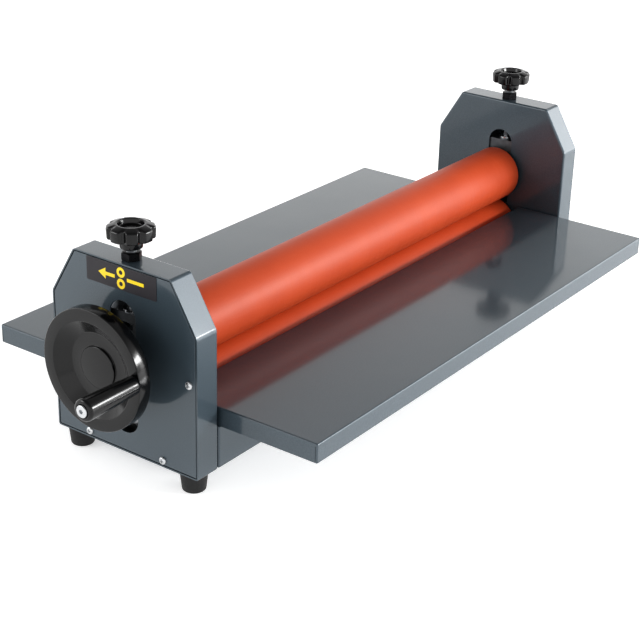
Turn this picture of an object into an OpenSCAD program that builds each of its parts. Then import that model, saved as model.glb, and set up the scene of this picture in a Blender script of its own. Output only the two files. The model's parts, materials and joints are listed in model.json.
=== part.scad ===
// Cold roll laminator: two silicone-covered rollers between sheet-metal end
// housings, with a feed table and an outfeed table on a folded base channel.
// X runs along the rollers with the handwheel at -X, -Y is the feed side and
// +Z is up. The origin is the middle of the whole machine on its floor.

/* [Overall] */
// Clear width between the inner faces of the two end housings
inner_width = 660; // [500:1:900]
// Front-to-back depth of an end housing
end_depth = 180; // [160:1:240]
// Height of an end housing, without its feet
end_height = 195; // [188:1:260]
// Thickness of an end housing along X, with its cover
end_thickness = 29; // [26:0.5:40]
// Front-to-back span over both tables
table_span = 404; // [300:1:600]

/* [End housings] */
// Thickness of the folded sheet steel
sheet = 1.5; // [1:0.1:2]
// Top corner cut, measured along the depth
corner_y = 30; // [20:1:40]
// Top corner cut, measured down from the top
corner_z = 50; // [35:1:60]
// Gap around a cover inside the tray's flanges
cover_gap = 0.6; // [0.3:0.1:1.5]
// Width of the shaft slot
slot_width = 32; // [26:1:34]
// Top of the shaft slot above the housing's bottom edge
slot_top = 158; // [150:1:165]
// Height of the side cover screws above the housing's bottom edge
side_screw_z = 97; // [80:1:110]
// Distance of the side cover screws in from the housing's front and back
side_screw_inset = 9.5; // [7:0.5:20]
// Half the spacing of the bottom cover screws
low_screw_y = 47; // [42:1:55]
// Height of the bottom cover screws above the housing's bottom edge
low_screw_z = 7.5; // [6:0.5:12]

/* [Rollers] */
// Outer diameter of the silicone covering
roller_d = 65; // [62:1:66]
// Length of the silicone covering
roller_len = 650; // [490:1:890]
// Height of the lower roller's axis above the housing's bottom edge
lower_axis_h = 37.6; // [37.5:0.1:42]
// Gap left at the nip with the rollers closed
nip_gap = 0.4; // [0.3:0.1:2]
// Outer diameter of the steel roller tube
tube_d = 50; // [46:1:52]
// Wall of the steel roller tube
tube_wall = 3; // [2:0.5:5]
// How far a journal's plug goes into the tube
plug_len = 30; // [20:1:60]
// Opening travel of the upper roller
lift = 23; // [5:1:25]

/* [Bearings and blocks] */
// Bearing bore, and diameter of the journals
journal_d = 20; // [17:1:20]
// Bearing outer diameter
bearing_od = 42; // [40:1:42]
// Bearing width
bearing_w = 12; // [10:1:14]
// Bearing balls in each bearing
ball_count = 9; // [7:1:9]
// Block width along Y
block_w = 50; // [49:1:54]
// Metal below the bearing in a block
block_foot = 5.5; // [5:0.5:6]
// Height of the upper block above the upper axis
block_rise = 41.5; // [38:0.5:44]
// Width of one guide rail beside the blocks
rail_w = 8; // [6:0.5:12]
// Sliding clearance between a block and its rails
slide_gap = 0.3; // [0.2:0.05:0.6]
// Diameter of the lower block's fixing screws
block_screw_d = 5; // [4:0.5:6]

/* [Pressure screws and knobs] */
// Pressure screw diameter
screw_d = 10; // [8:1:12]
// Diameter of the screw's turned-down end
screw_neck_d = 8; // [6:0.5:8]
// Hexagon width across flats of the top nut
nut_flats = 17; // [16:1:19]
// Top nut height
nut_h = 8; // [6:0.5:10]
// Space between the top nut and the knob with the rollers closed
knob_space = 4; // [2:0.5:10]
// Knob diameter over the lobes
knob_d = 46; // [40:1:60]
// Knob grip height
knob_grip_h = 14; // [10:0.5:20]
// Knob lobes
knob_lobes = 8; // [6:1:10]
// Knob hub diameter
knob_hub_d = 22; // [18:1:26]
// Knob hub height below the grip
knob_hub_h = 9.5; // [6:0.5:15]
// Diameter of the round recess in the knob's top
knob_recess_d = 25; // [16:1:28]

/* [Handwheel] */
// Handwheel diameter
wheel_d = 120; // [100:1:160]
// Width of the handwheel's rim along X
wheel_rim_w = 15; // [12:0.5:20]
// Front face of the handwheel out from the end cover
wheel_reach = 43.5; // [36:0.5:60]
// Width of the flat ring on the rim's front
wheel_ring_w = 12; // [10:0.5:16]
// Depth of the dish in the front
dish_depth = 10.5; // [8:0.5:11]
// Diameter of the flat floor of the dish
dish_floor_d = 68; // [60:1:72]
// Diameter of the raised round boss in the dish
boss_d = 42; // [36:1:48]
// Shaft diameter inside the handwheel
wheel_shaft_d = 16; // [12:1:18]
// Handle length
handle_len = 65; // [50:1:90]
// Handle diameter at its free end
handle_d = 21.5; // [18:0.5:26]
// Handle diameter at the wheel
handle_root_d = 18; // [15:0.5:20]
// Angle of the handle up from the feed side
handle_angle = 4; // [-90:1:90]

/* [Tables and base] */
// Table top above the housing's bottom edge
table_top_h = 64.5; // [62:0.5:66]
// Depth of the table's folded edges
table_edge = 19.5; // [15:0.5:20]
// Gap between a table's end and the end housing
table_end_gap = 3; // [1:0.5:6]
// Table's inner edge from the roller's axis plane
table_inner_y = 34.5; // [34:0.5:45]
// Width of the base channel's top lips
base_lip = 20; // [18:1:24]
// Width of the base channel's end tabs
base_tab = 28; // [24:1:32]

/* [Feet and label] */
// Foot height
foot_h = 20; // [12:1:30]
// Foot diameter at the top
foot_top_d = 27.5; // [24:0.5:28]
// Foot diameter at the floor
foot_low_d = 23; // [20:0.5:27]
// Distance of a foot's axis from the housing's front or back
foot_inset = 17.5; // [15:0.5:25]
// Label plate width
label_w = 86; // [60:1:100]
// Label plate height
label_h = 23.5; // [15:0.5:25]
// Label plate thickness
label_t = 0.5; // [0.3:0.1:1]

/* [Hidden] */
$fn = 96;
cut = 1;
slate = "#667077";
zinc = "silver";
steel = "#8d9196";
black = "#17181a";
silicone = "#d9552f";

// Heights above the floor
axis_low = foot_h + lower_axis_h;
axis_up = axis_low + roller_d + nip_gap;
top_z = foot_h + end_height;
table_z = foot_h + table_top_h;
base_top = table_z - table_edge;

// The handle makes the machine longer at the drive end, so the middle of the
// whole machine is not the middle of the rollers
handle_gap = 1;
handle_head_h = 1.5;
cover_head_h = 2.6;
drive_reach = end_thickness + wheel_reach + handle_gap + handle_len + handle_head_h;
far_reach = max(end_thickness + cover_head_h, (end_thickness + knob_d) / 2);
mid_x = (drive_reach - far_reach) / 2;

// Running and fixing clearances
run_gap = 0.05;
bolt_gap = 0.2;
seat_gap = 0.4;

// End housing, with x measured outwards from the inner face
cover_in = end_thickness - sheet;
screw_x = end_thickness / 2;
side_screw_y = end_depth / 2 - side_screw_inset;
foot_y = end_depth / 2 - foot_inset;
screw_places = [
    [-side_screw_y, side_screw_z], [side_screw_y, side_screw_z],
    [-low_screw_y, low_screw_z], [low_screw_y, low_screw_z]];
post_d = 8;
cover_screw_d = 4;
cover_screw_len = 10;
cover_head_d = 8;
label_drop = 2.5;

// Blocks and bearings
block_in = sheet + 0.8;
rail_lip_t = 2.5;
rail_out = cover_in - seat_gap - rail_lip_t;
block_out = rail_out - slide_gap;
bearing_in = block_in + 2;
bearing_out = bearing_in + bearing_w;
block_half = bearing_od / 2 + block_foot;
ring_wall = 3;
ball_d = 6;
ball_pitch_d = (bearing_od + journal_d) / 2;
ball_gap = 0.1;
shield_t = 0.8;
shield_gap = 0.3;
circlip_w = 1.2;
circlip_rise = 2.5;
journal_end = bearing_out + circlip_w + 2.5;
block_top = axis_up + block_rise;
rail_low = foot_h + sheet + 2;
rail_high = block_top + lift + 6;
rail_lip = 3.5;
block_screw_y = block_w / 2 - 8;
block_screw_z = bearing_od / 2;
lower_screw_z = [axis_low - block_screw_z, axis_low + block_screw_z];

// Pressure screw
washer_t = 2.5;
washer_d = 18;
screw_foot_z = block_top + washer_t;
neck_len = washer_t + 15;
clip_t = 1.2;
clip_d = 13;
clip_z = block_top - 11;
pocket_low = block_top - 16;
pocket_high = clip_z + clip_t + slide_gap;
pocket_w = 16;
plate_t = 5;
knob_z = top_z + nut_h + knob_space;
knob_bore_depth = 14;

// Handwheel, with x measured outwards from the cover's face
hub_d = 36;
hub_start = 6;
wheel_wall = 4;
boss_rise = 2.5;
wheel_back = wheel_reach - wheel_rim_w;
pin_d = 8;
pin_head_d = 12;
handle_r = wheel_d / 2 - wheel_ring_w / 2;
socket_flats = 4;

set_screw_d = 6;

// Base and tables
table_len = inner_width - 2 * table_end_gap;
table_out_y = table_span / 2;
base_bolt_d = 5;
base_bolt_y = end_depth / 2 - 12;
base_bolt_z = [foot_h + 12, base_top - 11];
rail_u_w = 15;
rail_u_len = table_len - 40;
rail_u_y = end_depth / 2 - base_lip / 2 + 0.5;
table_screw_d = 5;
table_screw_x = [-0.4 * table_len, -0.15 * table_len, 0.15 * table_len, 0.4 * table_len];

// Feet
foot_screw_d = 5;
foot_well_d = 13;
foot_well_depth = 11;

// ---- helpers ----

// Places children in end-housing coordinates: x = 0 on the inner face and
// growing outwards; side is -1 at the handwheel end and 1 at the other
module at_end(side) {
    translate([mid_x, 0, 0])
        mirror([side < 0 ? 1 : 0, 0, 0])
            translate([inner_width / 2, 0, 0])
                children();
}

// Extrudes an outline drawn in Y and Z along X
module sheet_x(x, t) {
    translate([x, 0, 0])
        rotate([90, 0, 90])
            linear_extrude(height = t)
                children();
}

// Round bar along X from x0 to x1
module rod_x(x0, x1, d, y = 0, z = 0) {
    translate([x0, y, z])
        rotate([0, 90, 0])
            cylinder(h = x1 - x0, d = d);
}

// Round ring along X
module ring_x(x0, x1, d_out, d_in, z = 0) {
    translate([x0, 0, z])
        rotate([0, 90, 0])
            difference() {
                cylinder(h = x1 - x0, d = d_out);
                translate([0, 0, -cut])
                    cylinder(h = x1 - x0 + 2 * cut, d = d_in);
            }
}

// Block between two corners
module box(low, high) {
    translate(low)
        cube(high - low);
}

// Hexagon prism standing on its end, by its width across flats
module hex(flats, h) {
    cylinder(h = h, d = flats / cos(30), $fn = 6);
}

// End housing outline, set in by i all round
function end_outline(i) =
    let (
        slope = norm([corner_y, corner_z]),
        ys = end_depth / 2 - i,
        zs = end_height - corner_z + i * (corner_z - slope) / corner_y,
        yt = end_depth / 2 - corner_y + i * (corner_y - slope) / corner_z,
        zt = end_height - i
    )
    [[-ys, i], [ys, i], [ys, zs], [yt, zt], [-yt, zt], [-ys, zs]];

// Round-ended slot that both shafts pass
module slot_2d() {
    low = lower_axis_h;
    high = slot_top - slot_width / 2;
    translate([0, low])
        circle(d = slot_width);
    translate([0, high])
        circle(d = slot_width);
    translate([-slot_width / 2, low])
        square([slot_width, high - low]);
}

// ---- end housings ----

module end_tray(side) {
    color(slate)
        at_end(side)
            difference() {
                translate([0, 0, foot_h])
                    difference() {
                        sheet_x(0, end_thickness)
                            polygon(end_outline(0));
                        sheet_x(sheet, end_thickness)
                            polygon(end_outline(sheet));
                        sheet_x(-cut, sheet + 2 * cut)
                            slot_2d();
                    }
                // hole for the pressure screw
                translate([screw_x, 0, top_z - sheet - cut])
                    cylinder(h = sheet + 2 * cut, d = screw_d + 2);
                // holes for the foot screws
                for (y = [-foot_y, foot_y])
                    translate([screw_x, y, foot_h - cut])
                        cylinder(h = sheet + 2 * cut, d = foot_screw_d + 2 * bolt_gap);
                // holes for the base bolts
                for (y = [-base_bolt_y, base_bolt_y], z = base_bolt_z)
                    rod_x(-cut, sheet + cut, base_bolt_d + 2 * bolt_gap, y, z);
                // holes for the lower block's screws
                for (y = [-block_screw_y, block_screw_y], z = lower_screw_z)
                    rod_x(-cut, sheet + cut, block_screw_d + 2 * run_gap, y, z);
            }
}

module end_cover(side, slotted) {
    color(slate)
        at_end(side)
            translate([0, 0, foot_h])
                difference() {
                    sheet_x(cover_in, sheet)
                        polygon(end_outline(sheet + cover_gap));
                    if (slotted)
                        sheet_x(cover_in - cut, sheet + 2 * cut)
                            slot_2d();
                    for (p = screw_places)
                        rod_x(cover_in - cut, end_thickness + cut,
                              cover_screw_d + 2 * bolt_gap, p[0], p[1]);
                }
}

// Threaded posts welded to the inner wall, one behind each cover screw
module cover_standoffs(side) {
    color(zinc)
        at_end(side)
            for (p = screw_places)
                difference() {
                    rod_x(sheet, cover_in, post_d, p[0], foot_h + p[1]);
                    rod_x(cover_in - cover_screw_len, cover_in + cut,
                          cover_screw_d + 2 * run_gap, p[0], foot_h + p[1]);
                }
}

// Pan-head screws with a cross recess
module cover_screws(side) {
    color(zinc)
        at_end(side)
            for (p = screw_places)
                translate([end_thickness, p[0], foot_h + p[1]])
                    pan_screw(cover_screw_d, cover_screw_len, cover_head_d, cover_head_h);
}

// Screw along X with its head outwards and its seat at x = 0
module pan_screw(d, len, head_d, head_h) {
    difference() {
        rotate([0, 90, 0])
            rotate_extrude()
                polygon([
                    [0, -len], [d / 2, -len], [d / 2, 0], [head_d / 2, 0],
                    [head_d / 2, head_h * 0.5], [head_d * 0.36, head_h * 0.9],
                    [head_d * 0.2, head_h], [0, head_h]]);
        for (a = [0, 90])
            rotate([a, 0, 0])
                box([head_h * 0.45, -head_d * 0.26, -head_d * 0.06],
                    [head_h + cut, head_d * 0.26, head_d * 0.06]);
    }
}

module label_plate() {
    high = top_z - label_drop;
    color("#2b2a30")
        at_end(-1)
            box([end_thickness, -label_w / 2, high - label_h],
                [end_thickness + label_t, label_w / 2, high]);
}

// ---- blocks, bearings and rails ----

// Guide rails beside the blocks, each with a lip that keeps the block in
module guide_rails(side) {
    color(steel)
        at_end(side)
            for (s = [-1, 1])
                scale([1, s, 1])
                    union() {
                        box([sheet, block_w / 2 + slide_gap, rail_low],
                            [rail_out + rail_lip_t, block_w / 2 + slide_gap + rail_w, rail_high]);
                        box([rail_out, block_w / 2 - rail_lip, rail_low],
                            [rail_out + rail_lip_t, block_w / 2 + slide_gap + rail_w, rail_high]);
                    }
}

// Bored housing for one bearing, z from low to high
module block_body(axis_z, low, high) {
    difference() {
        box([block_in, -block_w / 2, low], [block_out, block_w / 2, high]);
        rod_x(bearing_in, block_out + cut, bearing_od, 0, axis_z);
        rod_x(block_in - cut, block_out, journal_d + 8, 0, axis_z);
    }
}

module lower_block(side) {
    color("#4b4e52")
        at_end(side)
            difference() {
                block_body(axis_low, axis_low - block_half, axis_low + block_half);
                for (y = [-block_screw_y, block_screw_y], z = lower_screw_z)
                    rod_x(block_in - cut, block_out + cut, block_screw_d + 2 * bolt_gap, y, z);
            }
}

module lower_block_screws() {
    head_h = 1.8;
    color(zinc)
        for (side = [-1, 1])
            at_end(side)
                for (y = [-block_screw_y, block_screw_y], z = lower_screw_z) {
                    rod_x(0, block_out, block_screw_d, y, z);
                    rod_x(block_out, block_out + head_h, block_screw_d + 2, y, z);
                }
}

module upper_block(side) {
    color("#4b4e52")
        at_end(side)
            difference() {
                block_body(axis_up, axis_up - block_half, block_top);
                // hole and pocket that hold the screw's turned end
                translate([screw_x, 0, pocket_low])
                    cylinder(h = block_top - pocket_low + cut, d = screw_neck_d + 2 * run_gap);
                box([screw_x - clip_d / 2 - 0.5, -pocket_w / 2, pocket_low],
                    [block_out + cut, pocket_w / 2, pocket_high]);
            }
}

module thrust_washers() {
    color(zinc)
        for (side = [-1, 1])
            at_end(side)
                translate([screw_x, 0, block_top])
                    difference() {
                        cylinder(h = washer_t, d = washer_d);
                        translate([0, 0, -cut])
                            cylinder(h = washer_t + 2 * cut, d = screw_neck_d + 2 * run_gap);
                    }
}

// Outer ring with its race and two shields
module bearing_outer(axis_z) {
    color(steel)
        for (side = [-1, 1])
            at_end(side)
                translate([0, 0, axis_z])
                    difference() {
                        union() {
                            ring_x(bearing_in, bearing_out, bearing_od,
                                   bearing_od - 2 * ring_wall);
                            for (x = [bearing_in, bearing_out - shield_t])
                                ring_x(x, x + shield_t, bearing_od - ring_wall,
                                       journal_d + 2 * ring_wall + 2 * shield_gap);
                        }
                        race();
                    }
}

// Round groove that the balls run in
module race() {
    translate([(bearing_in + bearing_out) / 2, 0, 0])
        rotate([0, 90, 0])
            rotate_extrude()
                translate([ball_pitch_d / 2, 0])
                    circle(d = ball_d + 2 * ball_gap, $fn = 48);
}

module bearing_inner(axis_z) {
    color(steel)
        for (side = [-1, 1])
            at_end(side)
                translate([0, 0, axis_z])
                    difference() {
                        ring_x(bearing_in, bearing_out, journal_d + 2 * ring_wall, journal_d);
                        race();
                    }
}

module bearing_balls(axis_z) {
    color(zinc)
        for (side = [-1, 1])
            at_end(side)
                for (i = [0 : ball_count - 1])
                    translate([(bearing_in + bearing_out) / 2, 0, axis_z])
                        rotate([i * 360 / ball_count, 0, 0])
                            translate([0, ball_pitch_d / 2, 0])
                                sphere(d = ball_d, $fn = 24);
}

// Retaining ring against the bearing's outer side, open at the bottom
module circlips(axis_z) {
    color(steel)
        for (side = [-1, 1])
            at_end(side)
                translate([0, 0, axis_z])
                    difference() {
                        ring_x(bearing_out, bearing_out + circlip_w,
                               journal_d + 2 * circlip_rise, journal_d);
                        box([bearing_out - cut, -1.5, -journal_d],
                            [bearing_out + circlip_w + cut, 1.5, 0]);
                    }
}

// ---- rollers ----

module tube(axis_z) {
    color(steel)
        translate([mid_x, 0, 0])
            ring_x(-roller_len / 2, roller_len / 2, tube_d, tube_d - 2 * tube_wall, axis_z);
}

module sleeve(axis_z) {
    color(silicone)
        translate([mid_x, 0, 0])
            ring_x(-roller_len / 2, roller_len / 2, roller_d, tube_d, axis_z);
}

// Plug pressed into the tube with the bearing journal turned on it
module journal(side, axis_z) {
    face = -(inner_width - roller_len) / 2;
    at_end(side)
        translate([0, 0, axis_z]) {
            rod_x(face - plug_len, face, tube_d - 2 * tube_wall);
            rod_x(face, bearing_in, journal_d + 5);
            rod_x(bearing_in, journal_end, journal_d);
        }
}

module lower_journals() {
    color(steel)
        for (side = [-1, 1])
            journal(side, axis_low);
}

module upper_journal_r() {
    color(steel)
        journal(1, axis_up);
}

// The drive end's journal carries on through the cover's slot to the wheel
module upper_journal_l() {
    color(steel)
        union() {
            journal(-1, axis_up);
            at_end(-1)
                translate([0, 0, axis_up])
                    rod_x(journal_end, end_thickness + wheel_shaft_end(), wheel_shaft_d);
        }
}

// ---- handwheel and handle ----

function wheel_shaft_end() = wheel_reach - dish_depth - 2;

// Half section of the wheel: radius, then distance out from the cover
function wheel_outline() =
    let (
        rim_r = wheel_d / 2,
        ring_r = rim_r - wheel_ring_w,
        floor_x = wheel_reach - dish_depth,
        floor_r = dish_floor_d / 2,
        boss_r = boss_d / 2
    )
    [[0, floor_x + boss_rise], [boss_r - 1, floor_x + boss_rise],
     [boss_r, floor_x + boss_rise - 1], [boss_r, floor_x],
     [floor_r, floor_x], [ring_r, wheel_reach],
     [rim_r - 1, wheel_reach], [rim_r, wheel_reach - 1],
     [rim_r, wheel_back + 1], [rim_r - 1, wheel_back],
     [rim_r - wheel_wall, wheel_back], [rim_r - wheel_wall, wheel_reach - wheel_wall],
     [ring_r, wheel_reach - wheel_wall], [floor_r, floor_x - wheel_wall],
     [hub_d / 2, floor_x - wheel_wall], [hub_d / 2, hub_start],
     [0, hub_start]];

module handwheel() {
    color(black)
        at_end(-1)
            translate([end_thickness, 0, axis_up])
                difference() {
                    union() {
                        rotate([0, 90, 0])
                            rotate_extrude()
                                polygon(wheel_outline());
                        // seat behind the rim's ring for the handle's pin
                        intersection() {
                            handle_frame()
                                rod_x(wheel_back + 2, wheel_reach - 1, pin_d + 8);
                            rod_x(0, wheel_reach, wheel_d - 1);
                        }
                    }
                    rod_x(0, wheel_shaft_end() + run_gap, wheel_shaft_d + 2 * run_gap);
                    handle_frame()
                        rod_x(wheel_back, wheel_reach + cut, pin_d);
                    translate([hub_start + 8, 0, 0])
                        rotate([180, 0, 0])
                            cylinder(h = hub_d, d = set_screw_d);
                }
}

// Children drawn about the handle's own axis, along X
module handle_frame() {
    translate([0, -handle_r * cos(handle_angle), handle_r * sin(handle_angle)])
        children();
}

// Headless screw that locks the wheel on its shaft
module wheel_set_screw() {
    color(steel)
        at_end(-1)
            translate([end_thickness + hub_start + 8, 0, axis_up - hub_d / 2 + 0.5])
                difference() {
                    cylinder(h = hub_d / 2 - wheel_shaft_d / 2 - 0.5, d = set_screw_d);
                    translate([0, 0, -cut])
                        hex(3, 3 + cut);
                }
}

// Long screw that the grip turns on, with a hexagon socket in its head
module handle_pin() {
    grip_end = wheel_reach + handle_gap + handle_len;
    color(zinc)
        at_end(-1)
            translate([end_thickness, 0, axis_up])
                handle_frame()
                    difference() {
                        union() {
                            rod_x(wheel_back + 2, grip_end, pin_d);
                            rod_x(grip_end - 3, grip_end + handle_head_h, pin_head_d);
                        }
                        translate([grip_end + handle_head_h - 4, 0, 0])
                            rotate([0, 90, 0])
                                hex(socket_flats, 4 + cut);
                    }
}

// Turning grip, thicker towards its free end
module handle_grip() {
    x0 = wheel_reach + handle_gap;
    x1 = x0 + handle_len;
    r0 = handle_root_d / 2;
    r1 = handle_d / 2;
    bore = pin_d / 2 + run_gap;
    well = pin_head_d / 2 + 0.3;
    tip = [for (a = [0 : 15 : 90]) [r1 - 3 + 3 * cos(a), x1 - 3 + 3 * sin(a)]];
    color(black)
        at_end(-1)
            translate([end_thickness, 0, axis_up])
                handle_frame()
                    rotate([0, 90, 0])
                        rotate_extrude()
                            polygon(concat(
                                [[bore, x0], [r0 - 1, x0], [r0, x0 + 1],
                                 [r0 + (r1 - r0) * 0.75, x0 + handle_len * 0.6]],
                                tip,
                                [[well, x1], [well, x1 - 3.3], [bore, x1 - 3.3]]));
}

// ---- pressure screws and knobs ----

module screw_plate(side) {
    plate_w = 40;
    color(steel)
        at_end(side)
            difference() {
                box([sheet, -plate_w / 2, top_z - sheet - plate_t],
                    [cover_in - 0.5, plate_w / 2, top_z - sheet]);
                translate([screw_x, 0, top_z - sheet - plate_t - cut])
                    cylinder(h = plate_t + 2 * cut, d = screw_d + 2 * run_gap);
            }
}

module screw_nut(side) {
    color(black)
        at_end(side)
            translate([screw_x, 0, top_z])
                difference() {
                    rotate([0, 0, 30])
                        hex(nut_flats, nut_h);
                    translate([0, 0, -cut])
                        cylinder(h = nut_h + 2 * cut, d = screw_d + 2 * run_gap);
                }
}

module press_screw(side) {
    color(steel)
        at_end(side)
            translate([screw_x, 0, 0])
                difference() {
                    union() {
                        translate([0, 0, screw_foot_z])
                            cylinder(h = knob_z + knob_bore_depth - screw_foot_z, d = screw_d);
                        translate([0, 0, screw_foot_z - neck_len])
                            cylinder(h = neck_len, d = screw_neck_d);
                    }
                    // groove for the retaining ring
                    translate([0, 0, clip_z])
                        difference() {
                            cylinder(h = clip_t, d = screw_d + 2);
                            translate([0, 0, -cut])
                                cylinder(h = clip_t + 2 * cut, d = screw_neck_d - 2);
                        }
                }
}

module screw_clip(side) {
    color(zinc)
        at_end(side)
            translate([screw_x, 0, clip_z])
                difference() {
                    cylinder(h = clip_t, d = clip_d);
                    translate([0, 0, -cut])
                        cylinder(h = clip_t + 2 * cut, d = screw_neck_d - 2);
                    box([0, -2, -cut], [clip_d, 2, clip_t + cut]);
                }
}

module knob(side) {
    flute_d = knob_d * 0.27;
    recess_depth = 5;
    color(black)
        at_end(side)
            translate([screw_x, 0, knob_z])
                difference() {
                    union() {
                        cylinder(h = knob_hub_h + cut, d1 = knob_hub_d - 3, d2 = knob_hub_d);
                        translate([0, 0, knob_hub_h])
                            linear_extrude(height = knob_grip_h)
                                difference() {
                                    circle(d = knob_d);
                                    for (i = [0 : knob_lobes - 1])
                                        rotate(360 * (i + 0.5) / knob_lobes)
                                            translate([knob_d / 2 + flute_d * 0.3, 0])
                                                circle(d = flute_d, $fn = 48);
                                }
                    }
                    translate([0, 0, knob_hub_h + knob_grip_h - recess_depth])
                        cylinder(h = recess_depth + cut, d = knob_recess_d);
                    translate([0, 0, -cut])
                        cylinder(h = knob_bore_depth + cut, d = screw_d);
                }
}

// ---- base and tables ----

module base_channel() {
    half = inner_width / 2;
    y_out = end_depth / 2;
    color(slate)
        translate([mid_x, 0, 0])
            difference() {
                box([-half, -y_out, foot_h], [half, y_out, base_top]);
                // inside of the channel below the lips
                box([-half + sheet, -y_out + sheet, foot_h + sheet],
                    [half - sheet, y_out - sheet, base_top - sheet]);
                // mouth between the lips
                box([-half + sheet, -y_out + base_lip, foot_h + sheet],
                    [half - sheet, y_out - base_lip, base_top + cut]);
                // open ends between the tabs
                box([-half - cut, -y_out + base_tab, foot_h + sheet],
                    [half + cut, y_out - base_tab, base_top + cut]);
                // bolt holes in the end tabs
                for (y = [-base_bolt_y, base_bolt_y], z = base_bolt_z) {
                    rod_x(-half - cut, -half + sheet + cut, base_bolt_d + 2 * bolt_gap, y, z);
                    rod_x(half - sheet - cut, half + cut, base_bolt_d + 2 * bolt_gap, y, z);
                }
                // table screw holes in the lips
                for (x = table_screw_x, y = [-rail_u_y, rail_u_y])
                    translate([x, y, base_top - sheet - cut])
                        cylinder(h = sheet + 2 * cut, d = table_screw_d + 2 * bolt_gap);
            }
}

module base_bolts() {
    color(zinc)
        for (side = [-1, 1])
            at_end(side)
                for (y = [-base_bolt_y, base_bolt_y], z = base_bolt_z)
                    translate([0, y, z]) {
                        rod_x(-sheet - 7, sheet, base_bolt_d);
                        translate([sheet, 0, 0])
                            rotate([0, 90, 0])
                                hex(8, 3.5);
                    }
}

module base_nuts() {
    color(zinc)
        for (side = [-1, 1])
            at_end(side)
                for (y = [-base_bolt_y, base_bolt_y], z = base_bolt_z)
                    translate([-sheet - 4, y, z])
                        rotate([0, 90, 0])
                            difference() {
                                hex(8, 4);
                                translate([0, 0, -cut])
                                    cylinder(h = 4 + 2 * cut, d = base_bolt_d);
                            }
}

// Folded tray, open below; s is -1 on the feed side and 1 on the outfeed
module table(s) {
    half = table_len / 2;
    color(slate)
        translate([mid_x, 0, 0])
            scale([1, s, 1])
                difference() {
                    box([-half, table_inner_y, base_top], [half, table_out_y, table_z]);
                    box([-half + sheet, table_inner_y + sheet, base_top - cut],
                        [half - sheet, table_out_y - sheet, table_z - sheet]);
                }
}

// Channel under each table, standing on the base's lip
module table_rails() {
    half = rail_u_len / 2;
    color(slate)
        translate([mid_x, 0, 0])
            for (s = [-1, 1])
                difference() {
                    box([-half, s * rail_u_y - rail_u_w / 2, base_top],
                        [half, s * rail_u_y + rail_u_w / 2, table_z - sheet]);
                    box([-half - cut, s * rail_u_y - rail_u_w / 2 + sheet, base_top + sheet],
                        [half + cut, s * rail_u_y + rail_u_w / 2 - sheet, table_z - sheet + cut]);
                    for (x = table_screw_x)
                        translate([x, s * rail_u_y, base_top - cut])
                            cylinder(h = sheet + 2 * cut, d = table_screw_d + 2 * run_gap);
                }
}

module table_screws() {
    color(zinc)
        translate([mid_x, 0, 0])
            for (x = table_screw_x, y = [-rail_u_y, rail_u_y])
                translate([x, y, base_top - sheet]) {
                    cylinder(h = 8, d = table_screw_d);
                    translate([0, 0, -3])
                        cylinder(h = 3, d = table_screw_d * 1.9);
                }
}

// ---- feet ----

module foot(side, s) {
    color(black)
        at_end(side)
            translate([screw_x, s * foot_y, 0])
                difference() {
                    cylinder(h = foot_h, d1 = foot_low_d, d2 = foot_top_d);
                    translate([0, 0, -cut])
                        cylinder(h = foot_well_depth + cut, d = foot_well_d);
                    cylinder(h = foot_h + cut, d = foot_screw_d + 2 * bolt_gap);
                }
}

module foot_screws() {
    color(zinc)
        for (side = [-1, 1], s = [-1, 1])
            at_end(side)
                translate([screw_x, s * foot_y, foot_well_depth]) {
                    cylinder(h = foot_h - foot_well_depth + sheet + 6, d = foot_screw_d);
                    translate([0, 0, -3])
                        cylinder(h = 3, d = 9.5);
                }
}

module foot_nuts() {
    color(zinc)
        for (side = [-1, 1], s = [-1, 1])
            at_end(side)
                translate([screw_x, s * foot_y, foot_h + sheet])
                    difference() {
                        hex(8, 4);
                        translate([0, 0, -cut])
                            cylinder(h = 4 + 2 * cut, d = foot_screw_d);
                    }
}

end_tray(-1);  // end_tray_l
end_tray(1);  // end_tray_r
end_cover(-1, true);  // end_cover_l
end_cover(1, false);  // end_cover_r
cover_screws(-1);  // cover_screws_l
cover_screws(1);  // cover_screws_r
cover_standoffs(-1);  // cover_standoffs_l
cover_standoffs(1);  // cover_standoffs_r
label_plate();
base_channel();
base_bolts();
base_nuts();
table(-1);  // front_table
table(1);  // rear_table
table_rails();
table_screws();
guide_rails(-1);  // guide_rails_l
guide_rails(1);  // guide_rails_r
lower_block(-1);  // lower_block_l
lower_block(1);  // lower_block_r
lower_block_screws();
bearing_outer(axis_low);  // lower_bearing_outer
screw_nut(-1);  // screw_nut_l
screw_nut(1);  // screw_nut_r
screw_plate(-1);  // screw_plate_l
screw_plate(1);  // screw_plate_r
foot(-1, -1);  // foot_fl
foot(1, -1);  // foot_fr
foot(-1, 1);  // foot_bl
foot(1, 1);  // foot_br
foot_screws();
foot_nuts();
upper_block(-1);  // upper_block_l
upper_block(1);  // upper_block_r
bearing_outer(axis_up);  // upper_bearing_outer
thrust_washers();
tube(axis_up);  // upper_tube
sleeve(axis_up);  // upper_sleeve
upper_journal_l();
upper_journal_r();
bearing_inner(axis_up);  // upper_bearing_inner
bearing_balls(axis_up);  // upper_bearing_balls
circlips(axis_up);  // upper_circlips
handwheel();
wheel_set_screw();
handle_pin();
handle_grip();
tube(axis_low);  // lower_tube
sleeve(axis_low);  // lower_sleeve
lower_journals();
bearing_inner(axis_low);  // lower_bearing_inner
bearing_balls(axis_low);  // lower_bearing_balls
circlips(axis_low);  // lower_circlips
knob(-1);  // knob_l
press_screw(-1);  // press_screw_l
screw_clip(-1);  // screw_clip_l
knob(1);  // knob_r
press_screw(1);  // press_screw_r
screw_clip(1);  // screw_clip_r
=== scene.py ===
"""Looks of a bench cold roll laminator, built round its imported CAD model.

X runs along the rollers with the handwheel at -X, -Y is the feed side and +Z
is up. Everything is in metres, in the model's own frame.
"""

import json
import math

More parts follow.
